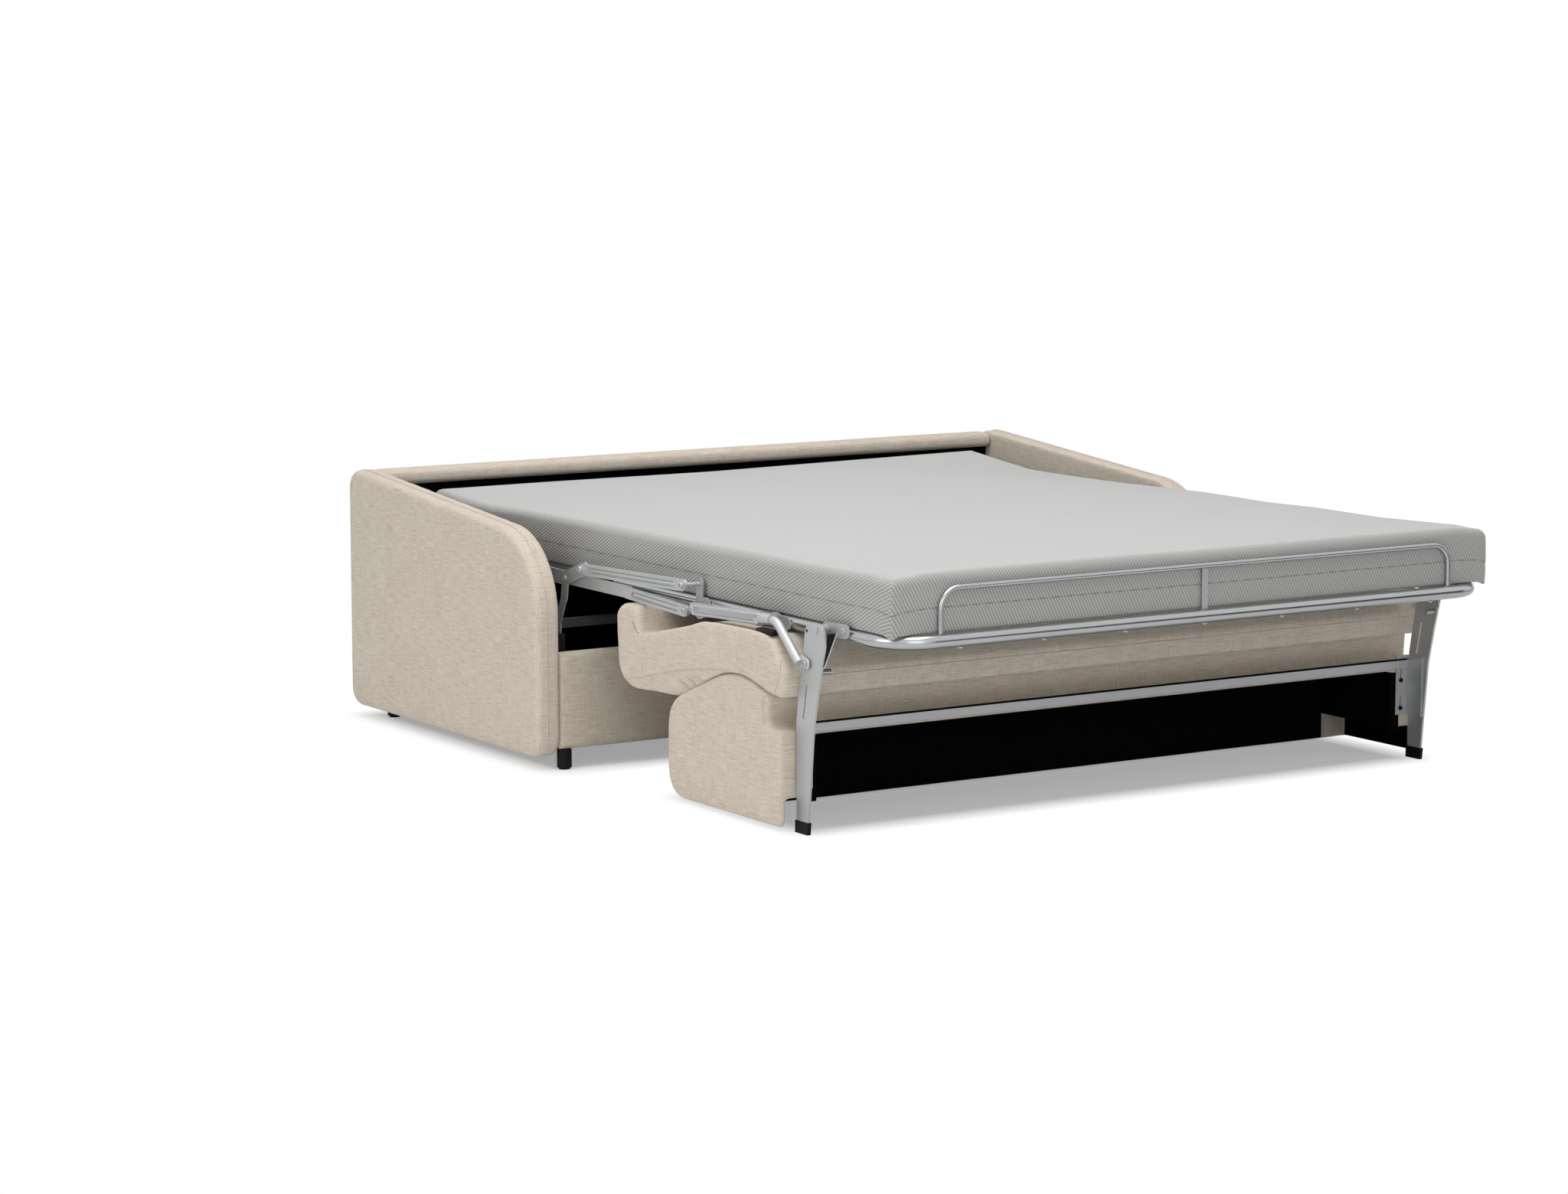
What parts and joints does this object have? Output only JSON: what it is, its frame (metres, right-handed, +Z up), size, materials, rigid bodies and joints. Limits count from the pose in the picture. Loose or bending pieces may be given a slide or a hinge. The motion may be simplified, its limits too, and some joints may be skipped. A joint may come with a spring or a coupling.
{
  "type": "sofa bed",
  "caption": "Low upholstered sofa bed opened out, with a mattress on a folding steel frame, and its seat and backrest carried under the foot end on hinged legs.",
  "frame": {"origin": "on the floor, under the middle of the opened sofa bed", "axes": "X across the bed, Y from the foot end to the back of the sofa, Z up"},
  "size_m": [1.932, 2.14, 0.606],
  "materials": {
    "upholstery": "matte",
    "lining": "matte",
    "mattress": "matte",
    "webbing": "matte",
    "timber": "matte",
    "black_plastic": "matte",
    "steel": "satin"
  },
  "bodies": {
    "base": {"arm_left": "upholstery", "arm_right": "upholstery", "front_rail": "upholstery", "back_beam": "upholstery", "back_panel": "upholstery", "back_lining": "lining", "base_board": "lining", "feet": "black_plastic", "arm_rail_left": "timber", "arm_rail_right": "timber", "side_plate_left": "steel", "side_plate_right": "steel", "fixed_pins": "steel", "base_cross_tube": "steel", "head_bearers": "steel", "head_frame": "steel", "head_webbing": "webbing", "mattress_head": "mattress", "mattress_fold": "mattress"},
    "middle": {"middle_tube_left": "steel", "middle_tube_right": "steel", "fold_lug_left": "steel", "fold_lug_right": "steel", "hinge_plate_left": "steel", "hinge_plate_right": "steel", "upper_link_left": "steel", "upper_link_right": "steel", "lower_channel_left": "steel", "lower_channel_right": "steel", "moving_pins": "steel", "middle_cross_tubes": "steel", "middle_webbing": "webbing", "mattress_middle": "mattress"},
    "rear_bars": {"rear_bar_left": "steel", "rear_bar_right": "steel"},
    "leg_rods": {"leg_rod_left": "steel", "leg_rod_right": "steel"},
    "foot": {"foot_tube": "steel", "guard_rail": "steel", "guard_strap": "steel", "foot_webbing": "webbing", "mattress_foot": "mattress", "foot_lug_left": "steel", "foot_lug_right": "steel", "leg_bracket_left": "steel", "leg_bracket_right": "steel"},
    "back": {"leg_left": "steel", "leg_right": "steel", "leg_cap_left": "black_plastic", "leg_cap_right": "black_plastic", "keyhole_bracket_left": "steel", "keyhole_bracket_right": "steel", "stop_pin_left": "steel", "stop_pin_right": "steel", "cross_bar": "steel", "backrest": "upholstery", "backrest_lining": "lining", "seat_cushion": "upholstery"}
  },
  "joints": [
    {"name": "bed_fold", "type": "hinge", "parent": "base", "child": "middle", "pos_m": [0, 0.117, 0.459], "axis": [-1, 0, 0], "range_deg": [0, 90], "deforming": ["mattress_fold"]},
    {"name": "foot_fold", "type": "hinge", "parent": "middle", "child": "foot", "pos_m": [0, -0.624, 0.434], "axis": [-1, 0, 0], "range_deg": [-45, 0]},
    {"name": "leg_fold", "type": "hinge", "parent": "foot", "child": "back", "pos_m": [0, -0.83, 0.437], "axis": [-1, 0, 0], "range_deg": [0, 45]},
    {"name": "rear_bar_swing", "type": "hinge", "parent": "base", "child": "rear_bars", "pos_m": [0, 0.205, 0.429], "axis": [-1, 0, 0], "range_deg": [0, 62.1]},
    {"name": "leg_rod_swing", "type": "hinge", "parent": "middle", "child": "leg_rods", "pos_m": [0, -0.349, 0.425], "axis": [-1, 0, 0], "range_deg": [-20.7, 0]}
  ],
  "couplings": [
    {"joint": "foot_fold", "follows": "bed_fold", "ratio": -0.5},
    {"joint": "leg_fold", "follows": "bed_fold", "ratio": 0.5},
    {"joint": "rear_bar_swing", "follows": "bed_fold", "ratio": 0.69},
    {"joint": "leg_rod_swing", "follows": "bed_fold", "ratio": -0.23}
  ]
}
